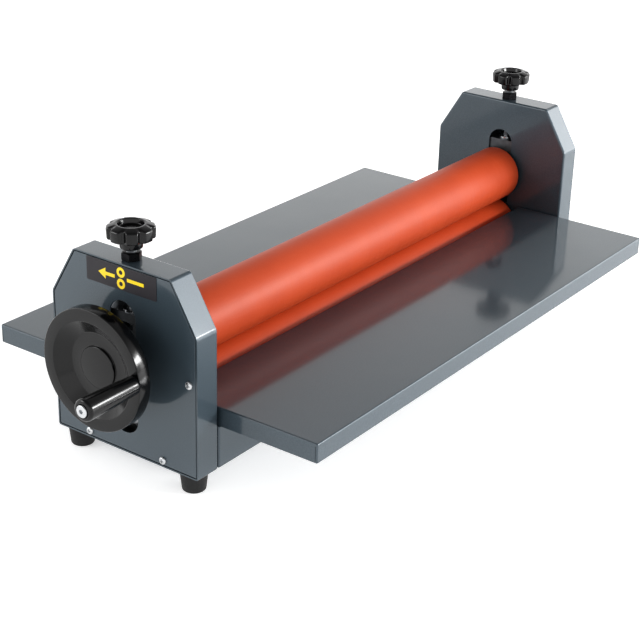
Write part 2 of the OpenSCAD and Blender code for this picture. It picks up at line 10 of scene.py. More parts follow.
import bmesh
import bpy
from mathutils import Matrix, Vector


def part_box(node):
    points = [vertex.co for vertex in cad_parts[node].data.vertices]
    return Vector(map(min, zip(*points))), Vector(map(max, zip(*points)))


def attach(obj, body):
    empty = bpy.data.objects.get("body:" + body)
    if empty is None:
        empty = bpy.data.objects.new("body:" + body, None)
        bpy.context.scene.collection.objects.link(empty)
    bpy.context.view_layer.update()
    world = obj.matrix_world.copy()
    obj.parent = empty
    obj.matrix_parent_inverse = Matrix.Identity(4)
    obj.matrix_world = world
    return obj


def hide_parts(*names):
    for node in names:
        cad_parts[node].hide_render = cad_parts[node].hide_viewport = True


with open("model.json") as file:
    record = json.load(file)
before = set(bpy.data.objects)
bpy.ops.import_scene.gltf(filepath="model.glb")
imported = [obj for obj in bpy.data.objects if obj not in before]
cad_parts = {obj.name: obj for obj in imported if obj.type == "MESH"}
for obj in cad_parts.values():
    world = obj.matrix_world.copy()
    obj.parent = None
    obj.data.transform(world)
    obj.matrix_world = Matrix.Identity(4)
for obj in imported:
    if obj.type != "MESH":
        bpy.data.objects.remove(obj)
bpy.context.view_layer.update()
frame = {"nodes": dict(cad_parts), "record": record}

MM = 0.001

# Sizes that the boxes of the CAD nodes don't give
SHEET = 1.5 * MM
BEND = 2.4 * MM
SHEET_EDGE = 0.25 * MM
CORNER_Y = 30 * MM
CORNER_Z = 50 * MM
COVER_GAP = 0.9 * MM
SLOT_R = 16 * MM
SLOT_RISE = 104.4 * MM
SCREW_R = 5 * MM
SCREW_HOLE_GAP = 1 * MM
THREAD_PITCH = 1.5 * MM
BASE_LIP = 20 * MM
BASE_TAB = 28 * MM
BASE_GAP = 1.0 * MM

# Points nearer than MERGE are one point, and a point within NEAR of a plane lies in it
MERGE = 0.002 * MM
NEAR = 0.01 * MM
# A direction points along an axis when its cosine to it is at least this
STRAIGHT = 0.99
# Edges that turn by more than these are shaded sharp, or rounded
SHARP_ANGLE = math.radians(38)
ROUND_ANGLE = math.radians(40)
# Faces that turn by less than this, in radians, are one flat face
FLAT_ANGLE = 0.01
# A noise texture's values mostly lie between these
NOISE_LOW = 0.3
NOISE_HIGH = 0.7

UP = Vector((0, 0, 1))
ALONG = Vector((1, 0, 0))


# ---- materials ----


def linear(code):
    """sRGB hex colour as linear RGBA."""
    parts = [int(code[i : i + 2], 16) / 255 for i in (1, 3, 5)]
    return [c / 12.92 if c <= 0.04045 else ((c + 0.055) / 1.055) ** 2.4 for c in parts] + [1]


def add(tree, kind, inputs, **settings):
    """Adds a node; each input is a value or another node's output."""
    made = tree.nodes.new(kind)
    for key, value in settings.items():
        setattr(made, key, value)
    for key, value in inputs.items():
        if isinstance(value, bpy.types.NodeSocket):
            tree.links.new(value, made.inputs[key])
        else:
            made.inputs[key].default_value = value
    return made


def new_material(name, **constants):
    """A material with its shader's own sockets set, and the object's coordinates."""
    material = bpy.data.materials.new(name)
    material.use_nodes = True
    tree = material.node_tree
    shader = tree.nodes["Principled BSDF"]
    for key, value in constants.items():
        shader.inputs[key.replace("_", " ")].default_value = value
    place = add(tree, "ShaderNodeTexCoord", {}).outputs["Object"]
    return material, tree, shader, place


def noise(tree, place, size, detail):
    """Output of a noise whose blobs are about size across."""
    made = add(tree, "ShaderNodeTexNoise", {"Vector": place, "Scale": 1 / size, "Detail": detail})
    return made.outputs["Fac"]


def stretched(tree, place, scale):
    """Coordinates squeezed along each axis by a scale."""
    return add(tree, "ShaderNodeMapping", {"Vector": place, "Scale": scale}).outputs["Vector"]


def ranged(tree, value, to_low, to_high, from_low=NOISE_LOW, from_high=NOISE_HIGH):
    """Output moved from one range of numbers to another."""
    spread = add(tree, "ShaderNodeMapRange", {
        "Value": value, "From Min": from_low, "From Max": from_high,
        "To Min": to_low, "To Max": to_high})
    return spread.outputs["Result"]


def mixed(tree, factor, low, high):
    """Colour between two colours by a factor's output."""
    mix = add(tree, "ShaderNodeMix", {0: factor, 6: low, 7: high}, data_type="RGBA")
    return mix.outputs[2]


def dress(tree, shader, tint, rough, height, strength, depth):
    """Gives the shader a colour, a roughness and a bump; returns the bump's normal."""
    bump = add(tree, "ShaderNodeBump", {"Strength": strength, "Distance": depth, "Height": height})
    normal = bump.outputs["Normal"]
    tree.links.new(tint, shader.inputs["Base Color"])
    tree.links.new(rough, shader.inputs["Roughness"])
    tree.links.new(normal, shader.inputs["Normal"])
    return normal


def powder_coat():
    """Metallic slate powder coat: fine aluminium flake under a clear gloss skin.

    It shows clear reflections whose edges waver with the coat's orange peel.
    The peel is drawn 7 mm wide, coarser than the real 2 mm, so that it shows.
    """
    material, tree, shader, place = new_material(
        "metallic_slate_powder_coat",
        Metallic=0.55, Coat_Weight=1.0, Coat_Roughness=0.1, Coat_IOR=1.5)
    peel = noise(tree, place, 7 * MM, 1.0)
    cloud = noise(tree, place, 60 * MM, 3.0)
    fleck = noise(tree, place, 0.9 * MM, 1.0)
    tint = mixed(tree, ranged(tree, cloud, 0, 1), linear("#3f4c54"), linear("#44515a"))
    speck = mixed(tree, ranged(tree, fleck, 0, 1, 0.35, 0.65), linear("#3a4750"), tint)
    rough = ranged(tree, cloud, 0.54, 0.6)
    normal = dress(tree, shader, speck, rough, peel, 0.5, 0.012 * MM)
    tree.links.new(normal, shader.inputs["Coat Normal"])
    return material


def silicone_rubber():
    """Silicone rubber, ground true on the roller: orange-red with a satin skin.

    Grinding leaves fine rings round it, drawn 1.2 mm apart so that they show.
    """
    material, tree, shader, place = new_material("ground_orange_silicone", IOR=1.41)
    rings = noise(tree, stretched(tree, place, (1 / (1.2 * MM), 12, 12)), 1.0, 2.0)
    cloud = noise(tree, place, 45 * MM, 3.0)
    dust = noise(tree, place, 0.8 * MM, 2.0)
    tint = mixed(tree, ranged(tree, cloud, 0, 1), linear("#b1421e"), linear("#b84721"))
    worn = mixed(tree, ranged(tree, dust, 0, 0.25, 0.4, 0.8), tint, linear("#c4623c"))
    rough = ranged(tree, rings, 0.46, 0.54)
    dress(tree, shader, worn, rough, rings, 0.4, 0.02 * MM)
    return material


def gloss_phenolic():
    """Phenolic resin pressed in a polished mould: deep black with a gloss skin.

    Flow in the mould leaves the gloss slightly uneven.
    """
    material, tree, shader, place = new_material("moulded_black_phenolic", IOR=1.45)
    flow = noise(tree, place, 9 * MM, 2.0)
    grain = noise(tree, place, 0.7 * MM, 1.0)
    tint = mixed(tree, flow, linear("#050506"), linear("#0a0a0b"))
    dress(tree, shader, tint, ranged(tree, grain, 0.13, 0.18), flow, 0.4, 0.02 * MM)
    return material


def metal(name, dark, light, smooth, coarse, grain, depth, stretch=(1, 1, 1)):
    """A bare or plated metal whose grain lies along the axes that stretch squeezes."""
    material, tree, shader, place = new_material(name, Metallic=1.0)
    marks = noise(tree, stretched(tree, place, stretch), grain, 3.0)
    cloud = noise(tree, place, 6 * MM, 2.0)
    tint = mixed(tree, cloud, linear(dark), linear(light))
    dress(tree, shader, tint, ranged(tree, marks, smooth, coarse), marks, 0.5, depth)
    return material


def moulded_rubber():
    """Black rubber from a blasted mould: matt, greyed a little by dust."""
    material, tree, shader, place = new_material("moulded_black_rubber", IOR=1.5)
    pores = noise(tree, place, 0.8 * MM, 2.0)
    dust = noise(tree, place, 8 * MM, 3.0)
    tint = mixed(tree, ranged(tree, dust, 0, 1, 0.4, 0.75), linear("#0b0b0c"), linear("#161617"))
    dress(tree, shader, tint, ranged(tree, pores, 0.5, 0.68), pores, 0.5, 0.06 * MM)
    return material


def printed_film(name, low, high, smooth):
    """Printed polyester film: an even satin colour with a faint fine texture."""
    material, tree, shader, place = new_material(name, IOR=1.55)
    grain = noise(tree, place, 0.5 * MM, 2.0)
    tint = mixed(tree, grain, linear(low), linear(high))
    dress(tree, shader, tint, ranged(tree, grain, smooth, smooth + 0.08), grain, 0.3, 0.01 * MM)
    return material


FINISH = {
    "slate_powder_coat": powder_coat(),
    "silicone_rubber": silicone_rubber(),
    "black_phenolic": gloss_phenolic(),
    # Bright zinc plate over turned steel, faintly clouded
    "zinc_plated_steel": metal(
        "bright_zinc_plate", "#b9bcc2", "#d5d6d4", 0.2, 0.32, 0.6 * MM, 0.01 * MM),
    # Turned and ground steel, with tool marks round its axis
    "machined_steel": metal(
        "turned_steel", "#85888c", "#a2a4a6", 0.26, 0.42, 1.0 * MM, 0.02 * MM, (4, 0.4, 0.4)),
    # Black oxide on steel, a thin dark oil-dull skin
    "blackened_steel": metal(
        "black_oxide_steel", "#1b1b1d", "#2a2a2c", 0.25, 0.4, 0.8 * MM, 0.02 * MM),
    # Milled cast iron, dull grey with an open grain
    "cast_block": metal(
        "milled_cast_iron", "#55585b", "#6d7073", 0.38, 0.55, 0.8 * MM, 0.03 * MM),
    "black_rubber": moulded_rubber(),
    "label_film": printed_film("dark_label_film", "#19151c", "#201c23", 0.5),
}
LABEL_INK = printed_film("yellow_label_ink", "#f0cf12", "#f7dc24", 0.4)


# ---- making pieces ----


def finish_piece(name, bm, slot, body, nodes=(), wall=0, round_edge=0, ink=None):
    """Makes a bmesh into a piece that rides on a body and stands for CAD nodes.

    wall gives a sheet its thickness inwards, and round_edge rounds what is
    still sharp after that.
    """
    bmesh.ops.remove_doubles(bm, verts=bm.verts[:], dist=MERGE)
    bmesh.ops.recalc_face_normals(bm, faces=bm.faces[:])
    settle(bm)
    mesh = bpy.data.meshes.new(name)
    bm.to_mesh(mesh)
    bm.free()
    mesh.materials.append(ink or FINISH[slot])
    for face in mesh.polygons:
        face.use_smooth = True
    piece = bpy.data.objects.new(name, mesh)
    bpy.context.scene.collection.objects.link(piece)
    if wall:
        shell = piece.modifiers.new("wall", "SOLIDIFY")
        shell.thickness = wall
        shell.offset = -1
        shell.use_even_offset = True
    if round_edge:
        bevel = piece.modifiers.new("round_edge", "BEVEL")
        bevel.width = round_edge
        bevel.segments = 2
        bevel.limit_method = "ANGLE"
        bevel.angle_limit = ROUND_ANGLE
    if wall or round_edge:
        weigh = piece.modifiers.new("flat_faces", "WEIGHTED_NORMAL")
        weigh.keep_sharp = True
    mesh.set_sharp_from_angle(angle=SHARP_ANGLE)
    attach(piece, body)
    if nodes:
        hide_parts(*nodes)


def unique(things):
    """The things without repeats, in their order, which a set would lose."""
    return list(dict.fromkeys(things))


def settle(bm):
    """Puts a mesh's parts in order of place, which doesn't change from run to run."""
    def corners(part):
        return sorted(v.index for v in part.verts)

    def spot(vert):
        return tuple(vert.co)

    for parts, place in ((bm.verts, spot), (bm.edges, corners), (bm.faces, corners)):
        rank = {part: k for k, part in enumerate(sorted(parts, key=place))}
        parts.sort(key=rank.get)
        parts.index_update()


def chain(bm, points):
    """Wire through the points."""
    verts = [bm.verts.new(p) for p in points]
    return verts, [bm.edges.new(pair) for pair in zip(verts, verts[1:])]


def loop(bm, points):
    """Closed wire through the points."""
    verts, edges = chain(bm, points)
    return edges + [bm.edges.new((verts[-1], verts[0]))]


def turned(bm, section, centre, axis, steps, closed=True):
    """Spins a half section about an axis through centre.

    Each point of the section is a radius, a distance along the axis and the
    radius that its corner is rounded to.
    """
    side = UP.copy() if abs(axis.dot(UP)) < 0.5 else ALONG.copy()
    points = [centre + side * r + axis * along for r, along, _ in section]
    verts, edges = chain(bm, points)
    if closed:
        edges.append(bm.edges.new((verts[-1], verts[0])))
    start = set(bm.verts) - set(verts)
    for radius in sorted({corner for _, _, corner in section if corner}):
        rounded = [v for v, (_, _, corner) in zip(verts, section) if corner == radius]
        bmesh.ops.bevel(
            bm, geom=rounded, offset=radius, offset_type="OFFSET", segments=4,
            profile=0.5, affect="VERTICES", material=-1)
    wire = [v for v in bm.verts if v not in start and v.is_valid]
    ends = unique(e for v in wire for e in v.link_edges)
    bmesh.ops.spin(
        bm, geom=wire + ends, cent=centre, axis=axis, angle=math.tau,
        steps=steps, use_merge=True)
    bmesh.ops.remove_doubles(bm, verts=bm.verts[:], dist=MERGE)


def verts_in(geom):
    """The vertices among a mesh's parts."""
    return [g for g in geom if isinstance(g, bmesh.types.BMVert)]


def bevel_edges(bm, edges, width, segments):
    """Rounds edges of a sheet or plate."""
    bmesh.ops.bevel(
        bm, geom=edges, offset=width, offset_type="OFFSET", segments=segments, profile=0.5,
        affect="EDGES", material=-1)


def open_up(bm, face, rims):
    """Cuts the closed wires out of a flat face, with its edges taken in order of place."""
    edges = sorted(list(face.edges) + rims, key=lambda e: [
        round((a + b) / MERGE) for a, b in zip(e.verts[0].co, e.verts[1].co)])
    bmesh.ops.delete(bm, geom=[face], context="FACES_ONLY")
    filled = bmesh.ops.triangle_fill(bm, use_beauty=True, edges=edges)
    faces = [g for g in filled["geom"] if isinstance(g, bmesh.types.BMFace)]
    inner = [e for f in faces for e in f.edges
             if len(e.link_faces) == 2 and all(g in faces for g in e.link_faces)]
    bmesh.ops.dissolve_limit(bm, angle_limit=FLAT_ANGLE, verts=[], edges=unique(inner))


def ring_wire(bm, centre, axis, radius, steps):
    """Round wire about an axis."""
    turn = axis.to_track_quat("Z", "Y").to_matrix().to_4x4()
    made = bmesh.ops.create_circle(
        bm, segments=steps, radius=radius, matrix=Matrix.Translation(centre) @ turn)
    return unique(e for v in made["verts"] for e in v.link_edges)


def slot_wire(bm, x, centre_z):
    """Round-ended slot in the plane at x, from its lower centre up."""
    steps = 48
    turn = Matrix.Rotation(math.pi / 2, 4, "Y") @ Matrix.Rotation(math.pi / steps, 4, "Z")
    made = bmesh.ops.create_circle(
        bm, segments=steps, radius=SLOT_R, matrix=Matrix.Translation((x, 0, centre_z)) @ turn)
    upper = [v for v in made["verts"] if v.co.z > centre_z]
    bmesh.ops.translate(bm, verts=upper, vec=(0, 0, SLOT_RISE))
    return unique(e for v in made["verts"] for e in v.link_edges)


def block(bm, low, high):
    """Box between two corners."""
    low, high = Vector(low), Vector(high)
    size = high - low
    place = Matrix.Translation((low + high) / 2) @ Matrix.Diagonal((*size, 1))
    bmesh.ops.create_cube(bm, size=1, matrix=place)


def centre_of(node):
    """Middle of a CAD node's box."""
    low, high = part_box(node)
    return (low + high) / 2


def facing_x(faces):
    """Faces that look along X, either way."""
    return [f for f in faces if abs(f.normal.x) > STRAIGHT]


# ---- end housings ----


def housing_outline(low, high, x, inset):
    """Six corners of an end housing's outline at x, set in all round."""
    height = high.z - low.z
    slope = math.hypot(CORNER_Y, CORNER_Z)
    side = high.y - inset
    shoulder = low.z + height - CORNER_Z + inset * (CORNER_Z - slope) / CORNER_Y
    crown = high.y - CORNER_Y + inset * (CORNER_Y - slope) / CORNER_Z
    base, roof = low.z + inset, high.z - inset
    return [(x, -side, base), (x, side, base), (x, side, shoulder),
            (x, crown, roof), (x, -crown, roof), (x, -side, shoulder)]


def end_tray(end, side):
    """Folded tray: an inner wall with a slot, and a flange all round it."""
    low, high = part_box("end_tray_" + end)
    inner, outer = (low.x, high.x) if side > 0 else (high.x, low.x)
    bm = bmesh.new()
    rim = loop(bm, housing_outline(low, high, inner, 0))
    wall = bmesh.ops.contextual_create(bm, geom=rim)["faces"][0]
    flange = bmesh.ops.extrude_edge_only(bm, edges=list(wall.edges))["geom"]
    bmesh.ops.translate(bm, vec=(outer - inner, 0, 0), verts=verts_in(flange))
    bevel_edges(bm, [e for e in bm.edges if len(e.link_faces) == 2], BEND, 5)
    wall = max(facing_x(bm.faces), key=lambda f: f.calc_area())
    open_up(bm, wall, slot_wire(bm, inner, centre_of("lower_sleeve").z))
    upper = [f for f in bm.faces if f.calc_center_median().z > high.z / 2]
    roof = max((f for f in upper if abs(f.normal.z) > STRAIGHT), key=lambda f: f.calc_area())
    hole = Vector((centre_of("press_screw_" + end).x, 0, high.z))
    open_up(bm, roof, ring_wire(bm, hole, UP, SCREW_R + SCREW_HOLE_GAP, 32))
    finish_piece("end_tray_sheet_" + end, bm, "slate_powder_coat", "frame",
                 ["end_tray_" + end], wall=SHEET, round_edge=SHEET_EDGE)


def end_cover(end, side, slotted):
    """Flat cover plate lying inside the tray's flanges."""
    low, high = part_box("end_tray_" + end)
    plate_low, plate_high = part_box("end_cover_" + end)
    inner, outer = (plate_low.x, plate_high.x) if side > 0 else (plate_high.x, plate_low.x)
    bm = bmesh.new()
    rim = loop(bm, housing_outline(low, high, inner, SHEET + COVER_GAP))
    face = bmesh.ops.contextual_create(bm, geom=rim)["faces"][0]
    if slotted:
        open_up(bm, face, slot_wire(bm, inner, centre_of("lower_sleeve").z))
    thick = bmesh.ops.extrude_face_region(bm, geom=bm.faces[:])["geom"]
    bmesh.ops.translate(bm, vec=(outer - inner, 0, 0), verts=verts_in(thick))
    finish_piece("end_cover_plate_" + end, bm, "slate_powder_coat", "frame",
                 ["end_cover_" + end], round_edge=0.35 * MM)


def cross_outline(reach, half, corner):
    """Twelve corners of a cross, as pairs across a head."""
    arm = [(reach, -half), (reach, half), (corner, corner)]
    return [(a * math.cos(q) - b * math.sin(q), a * math.sin(q) + b * math.cos(q))
            for q in (0, math.pi / 2, math.pi, 3 * math.pi / 2) for a, b in arm]


def hexagon(flats):
    """Six corners of a hexagon, by its size across flats, as pairs across a head."""
    radius = flats / 2 / math.cos(math.pi / 6)
    return [(radius * math.cos(q), radius * math.sin(q))
            for q in (k * math.pi / 3 for k in range(6))]


def driven_head(bm, centre, outwards, section, outline, depth, taper):
    """Screw head along X with a drive recess pressed into its end face.

    The section's last point is the rim of the end face.
    """
    turned(bm, section, centre, ALONG * outwards, 32, closed=False)
    rim_r, end = section[-1][0], centre.x + section[-1][1] * outwards
    rim = [e for e in bm.edges if e.is_boundary and all(
        abs(v.co.x - end) < NEAR and (v.co - centre).yz.length < rim_r * 1.01
        for v in e.verts)]
    mouth = loop(bm, [(end, centre.y + a, centre.z + b) for a, b in outline])
    bmesh.ops.triangle_fill(bm, use_beauty=True, edges=rim + mouth)
    sunk = bmesh.ops.extrude_edge_only(bm, edges=mouth)["geom"]
    low = verts_in(sunk)
    shift = Matrix.Translation((-depth * outwards, 0, 0))
    about = Matrix.Translation((end, centre.y, centre.z))
    narrowed = about @ Matrix.Diagonal((1, taper, taper, 1)) @ about.inverted()
    bmesh.ops.transform(bm, verts=low, matrix=shift @ narrowed)
    floor = [g for g in sunk if isinstance(g, bmesh.types.BMEdge)
             and all(v in low for v in g.verts)]
    bmesh.ops.contextual_create(bm, geom=floor)


def cover_screws(end, side):
    """Four pan-head screws with cross recesses."""
    tray_low, tray_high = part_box("end_tray_" + end)
    seat = tray_high.x if side > 0 else tray_low.x
    low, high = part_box("cover_screws_" + end)
    out = (high.x - seat) if side > 0 else (seat - low.x)
    head_r, shank_r, shank = 4 * MM, 2 * MM, 8 * MM
    y_side, z_side = high.y - head_r, high.z - head_r
    y_low, z_low = 47 * MM, low.z + head_r
    cross = cross_outline(head_r * 0.52, head_r * 0.12, head_r * 0.17)
    bm = bmesh.new()
    for y, z in ((-y_side, z_side), (y_side, z_side), (-y_low, z_low), (y_low, z_low)):
        driven_head(
            bm, Vector((seat, y, z)), side,
            [(0, -shank, 0), (shank_r, -shank, 0), (shank_r, 0, 0), (head_r, 0, 0),
             (head_r, out * 0.55, out * 0.2), (head_r * 0.82, out * 0.86, out * 0.25),
             (head_r * 0.62, out, 0)],
            cross, depth=out * 0.55, taper=0.55)
    finish_piece("cover_pan_screws_" + end, bm, "zinc_plated_steel", "frame",
                 ["cover_screws_" + end])


def label():
    """Thin plate with a plain sign on it: a sheet passing between two rollers."""
    low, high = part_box("label_plate")
    bm = bmesh.new()
    block(bm, low, high)
    corners = [e for e in bm.edges
               if abs((e.verts[0].co - e.verts[1].co).normalized().x) > STRAIGHT]
    bevel_edges(bm, corners, 1.2 * MM, 4)
    finish_piece("label_plate_film", bm, "label_film", "frame", ["label_plate"],
                 round_edge=0.12 * MM)

    face, middle_z = low.x, ((low + high) / 2).z
    ink = 0.12 * MM
    ring_in, ring_out, ring_rise = 2.2 * MM, 5 * MM, 5.6 * MM
    tail, ring_clear, neck, point = -28 * MM, 7.5 * MM, 19 * MM, 28 * MM
    bar_half, head_half = 1.7 * MM, 5.5 * MM
    bm = bmesh.new()
    for s in (-1, 1):
        turned(bm, [(ring_in, 0, 0), (ring_out, 0, 0), (ring_out, ink, 0), (ring_in, ink, 0)],
               Vector((face, 0, middle_z + s * ring_rise)), -ALONG, 48)
    for y0, y1 in ((tail, -ring_clear), (ring_clear, neck)):
        block(bm, (face - ink, y0, middle_z - bar_half), (face, y1, middle_z + bar_half))
    tip = loop(bm, [(face, neck, middle_z - head_half), (face, point, middle_z),
                    (face, neck, middle_z + head_half)])
    head = bmesh.ops.contextual_create(bm, geom=tip)["faces"]
    raised = bmesh.ops.extrude_face_region(bm, geom=head)["geom"]
    bmesh.ops.translate(bm, vec=(-ink, 0, 0), verts=verts_in(raised))
    finish_piece("label_sign", bm, "label_film", "frame", ink=LABEL_INK)


# ---- tables and base ----


def table(name):
    """Folded tray, open below, with a slit beside each end flange."""
    low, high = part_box(name)
    bm = bmesh.new()
    block(bm, low, high)
    bottom = [f for f in bm.faces if f.normal.z < -STRAIGHT]
    bmesh.ops.delete(bm, geom=bottom, context="FACES_ONLY")
    bevel_edges(bm, [e for e in bm.edges if len(e.link_faces) == 2], 1.6 * MM, 4)
    slit_in, slit_out, slit_top = 2.5 * MM, 2.0 * MM, high.z - 3 * MM
    for y in (low.y + slit_in, low.y + slit_out, high.y - slit_in, high.y - slit_out):
        cut_ends(bm, (0, y, 0), (0, 1, 0))
    cut_ends(bm, (0, 0, slit_top), (0, 0, 1))

    def in_slit(face):
        at = face.calc_center_median()
        return at.z < slit_top and slit_out < min(at.y - low.y, high.y - at.y) < slit_in

    slits = [f for f in facing_x(bm.faces) if in_slit(f)]
    bmesh.ops.delete(bm, geom=slits, context="FACES")
    finish_piece(name + "_sheet", bm, "slate_powder_coat", "frame", [name],
                 wall=SHEET, round_edge=SHEET_EDGE)


def cut_ends(bm, point, normal):
    """Cuts the faces that look along X with a plane."""
    ends = facing_x(bm.faces)
    edges = unique(e for f in ends for e in f.edges)
    verts = unique(v for f in ends for v in f.verts)
    geom = ends + edges + verts
    bmesh.ops.bisect_plane(bm, geom=geom, dist=0.001 * MM, plane_co=point, plane_no=normal)


def base_channel():
    """Folded channel with lips along its top and tabs turned in at its ends."""
    low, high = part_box("base_channel")
    low.x, high.x = low.x + BASE_GAP, high.x - BASE_GAP
    bm = bmesh.new()
    block(bm, low, high)
    bmesh.ops.delete(bm, geom=[f for f in bm.faces if f.normal.z > STRAIGHT], context="FACES_ONLY")
    for y in (low.y + BASE_TAB, high.y - BASE_TAB):
        cut_ends(bm, (0, y, 0), (0, 1, 0))
    tab_y = high.y - BASE_TAB
    middle = [f for f in facing_x(bm.faces) if abs(f.calc_center_median().y) < tab_y]
    bmesh.ops.delete(bm, geom=middle, context="FACES")
    for s in (-1, 1):
        top = [e for e in bm.edges if all(
            v.co.z > high.z - NEAR and v.co.y * s > high.y - NEAR for v in e.verts)]
        lip = bmesh.ops.extrude_edge_only(bm, edges=top)["geom"]
        bmesh.ops.translate(bm, vec=(0, -s * BASE_LIP, 0), verts=verts_in(lip))
    bends = [e for e in bm.edges if len(e.link_faces) == 2 and e.calc_face_angle() > SHARP_ANGLE]
    bevel_edges(bm, bends, BEND, 4)
    finish_piece("base_channel_sheet", bm, "slate_powder_coat", "frame", ["base_channel"],
                 wall=SHEET, round_edge=SHEET_EDGE)


def rubber_foot(node):
    """Tapered bumper with a rounded tread and a well for its screw."""
    low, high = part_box(node)
    middle = (low + high) / 2
    top_r, low_r, height = (high.x - low.x) / 2, 11.5 * MM, high.z
    well_r, bore_r, well = 6.5 * MM, 2.7 * MM, 11 * MM
    bm = bmesh.new()
    turned(bm, [(bore_r, well, 0), (well_r, well, 0), (well_r, 0, 0.8 * MM), (low_r, 0, 2 * MM),
                (top_r, height, 0.8 * MM), (bore_r, height, 0)],
           Vector((middle.x, middle.y, 0)), UP, 48)
    finish_piece(node + "_bumper", bm, "black_rubber", "frame", [node])


# ---- rollers ----


def roller_sleeve(node, body):
    """Rubber covering with its ends ground to a small radius."""
    low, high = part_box(node)
    middle = (low + high) / 2
    radius, bore, length = (high.z - low.z) / 2, 25 * MM, high.x - low.x
    edge = 1.6 * MM
    bm = bmesh.new()
    turned(bm, [(bore, 0, 0), (radius, 0, edge), (radius, length, edge), (bore, length, 0)],
           Vector((low.x, middle.y, middle.z)), ALONG, 128)
    finish_piece(node + "_rubber", bm, "silicone_rubber", body, [node])


# ---- handwheel ----


def handwheel():
    """Solid-web wheel: flat ring, dish and raised boss, hollow behind the rim."""
    low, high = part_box("handwheel")
    axis = centre_of("upper_sleeve")
    rim_r = (high.z - low.z) / 2
    front, back = 0, high.x - low.x
    rim_w, ring_w, wall = 15 * MM, 12 * MM, 4 * MM
    dish, floor_r, boss_r, rise = 10.5 * MM, 34 * MM, 21 * MM, 2.5 * MM
    shaft_r, hub_r, bore_end = 8.05 * MM, 18 * MM, dish + 2 * MM
    seat_r, seat_bore, seat_front, seat_back = 5.2 * MM, 4 * MM, 1 * MM, rim_w - 2 * MM
    bm = bmesh.new()
    turned(bm, [
        (0, dish - rise, 0), (boss_r, dish - rise, 1.2 * MM), (boss_r, dish, 0.6 * MM),
        (floor_r, dish, 0.8 * MM), (rim_r - ring_w, front, 0.5 * MM), (rim_r, front, 1.0 * MM),
        (rim_r, rim_w, 1.5 * MM), (rim_r - wall, rim_w, 0.8 * MM), (rim_r - wall, wall, 1.2 * MM),
        (rim_r - ring_w, wall, 1.5 * MM), (floor_r, dish + wall, 1.5 * MM),
        (hub_r, dish + wall, 1.5 * MM), (hub_r, back, 1 * MM), (shaft_r, back, 0.5 * MM),
        (shaft_r, bore_end, 0), (0, bore_end, 0)],
        Vector((low.x, axis.y, axis.z)), ALONG, 128, closed=False)
    pin_low, pin_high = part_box("handle_pin")
    pin = (pin_low + pin_high) / 2
    turned(bm, [(seat_bore, seat_front, 0), (seat_r, seat_front, 0), (seat_r, seat_back, 1 * MM),
                (seat_bore, seat_back, 0)],
           Vector((low.x, pin.y, pin.z)), ALONG, 32)
    finish_piece("handwheel_moulding", bm, "black_phenolic", "upper_roller", ["handwheel"])


def handle():
    """Turning grip that swells to its free end, on a socket-head screw."""
    low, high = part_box("handle_grip")
    middle = (low + high) / 2
    length, tip_r, root_r = high.x - low.x, (high.y - low.y) / 2, 9 * MM
    bore, well_r, well_floor, well_edge = 4.05 * MM, 6.3 * MM, 3.3 * MM, 0.8 * MM
    bm = bmesh.new()
    turned(bm, [
        (bore, length, 0), (root_r - 0.6 * MM, length, 0.8 * MM),
        (root_r, length - 3 * MM, 1 * MM), (root_r, length - 7 * MM, 3 * MM),
        (root_r + 1.1 * MM, length * 0.55, 10 * MM), (tip_r, 9 * MM, 6 * MM),
        (tip_r, 0, 3.2 * MM), (well_r + well_edge, 0, 0.5 * MM), (well_r, well_edge, 0),
        (well_r, well_floor, 0), (bore, well_floor, 0)],
        Vector((low.x, middle.y, middle.z)), ALONG, 64)
    finish_piece("handle_grip_moulding", bm, "black_phenolic", "handle", ["handle_grip"])

    pin_low, pin_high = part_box("handle_pin")
    length, shank, head_r, head = pin_high.x - pin_low.x, 4 * MM, 6 * MM, 4.5 * MM
    bm = bmesh.new()
    driven_head(
        bm, Vector((pin_high.x, middle.y, middle.z)), -1,
        [(0, 0, 0), (shank, 0, 0), (shank, length - head, 0), (head_r, length - head, 0),
         (head_r, length, 0.9 * MM), (head_r * 0.7, length, 0)],
        hexagon(4 * MM), depth=3 * MM, taper=1)
    finish_piece("handle_socket_screw", bm, "zinc_plated_steel", "upper_roller", ["handle_pin"])


# ---- pressure screws and knobs ----


def knob(end, body):
    """Fluted grip with a ringed recess on top, and a hub below."""
    low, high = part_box("knob_" + end)
    middle = (low + high) / 2
    radius, height = (high.y - low.y) / 2, high.z - low.z
    hub_r, hub_h = 11 * MM, 9.5 * MM
    foot_r = hub_r - 1.5 * MM
    dome, recess_r, recess_floor = 2.6 * MM, 12.5 * MM, height - 5 * MM
    bm = bmesh.new()
    turned(bm, [
        (0, 1 * MM, 0), (foot_r, 1 * MM, 0), (foot_r, 0, 0.4 * MM),
        (hub_r - 0.4 * MM, 0, 0.5 * MM), (hub_r, hub_h * 0.4, 0.5 * MM),
        (hub_r, hub_h, 1.5 * MM), (radius - 0.6 * MM, hub_h, 1.2 * MM),
        (radius, height - dome, dome), (recess_r + 1.6 * MM, height, 1.4 * MM),
        (recess_r, height - 0.4 * MM, 0.5 * MM),
        (recess_r - 1 * MM, recess_floor, 0.8 * MM), (0, recess_floor, 0)],
        Vector((middle.x, middle.y, low.z)), UP, 256, closed=False)
    flute(bm, middle, radius, hub_r + 5 * MM)
    finish_piece("pressure_knob_" + end, bm, "black_phenolic", body, ["knob_" + end])


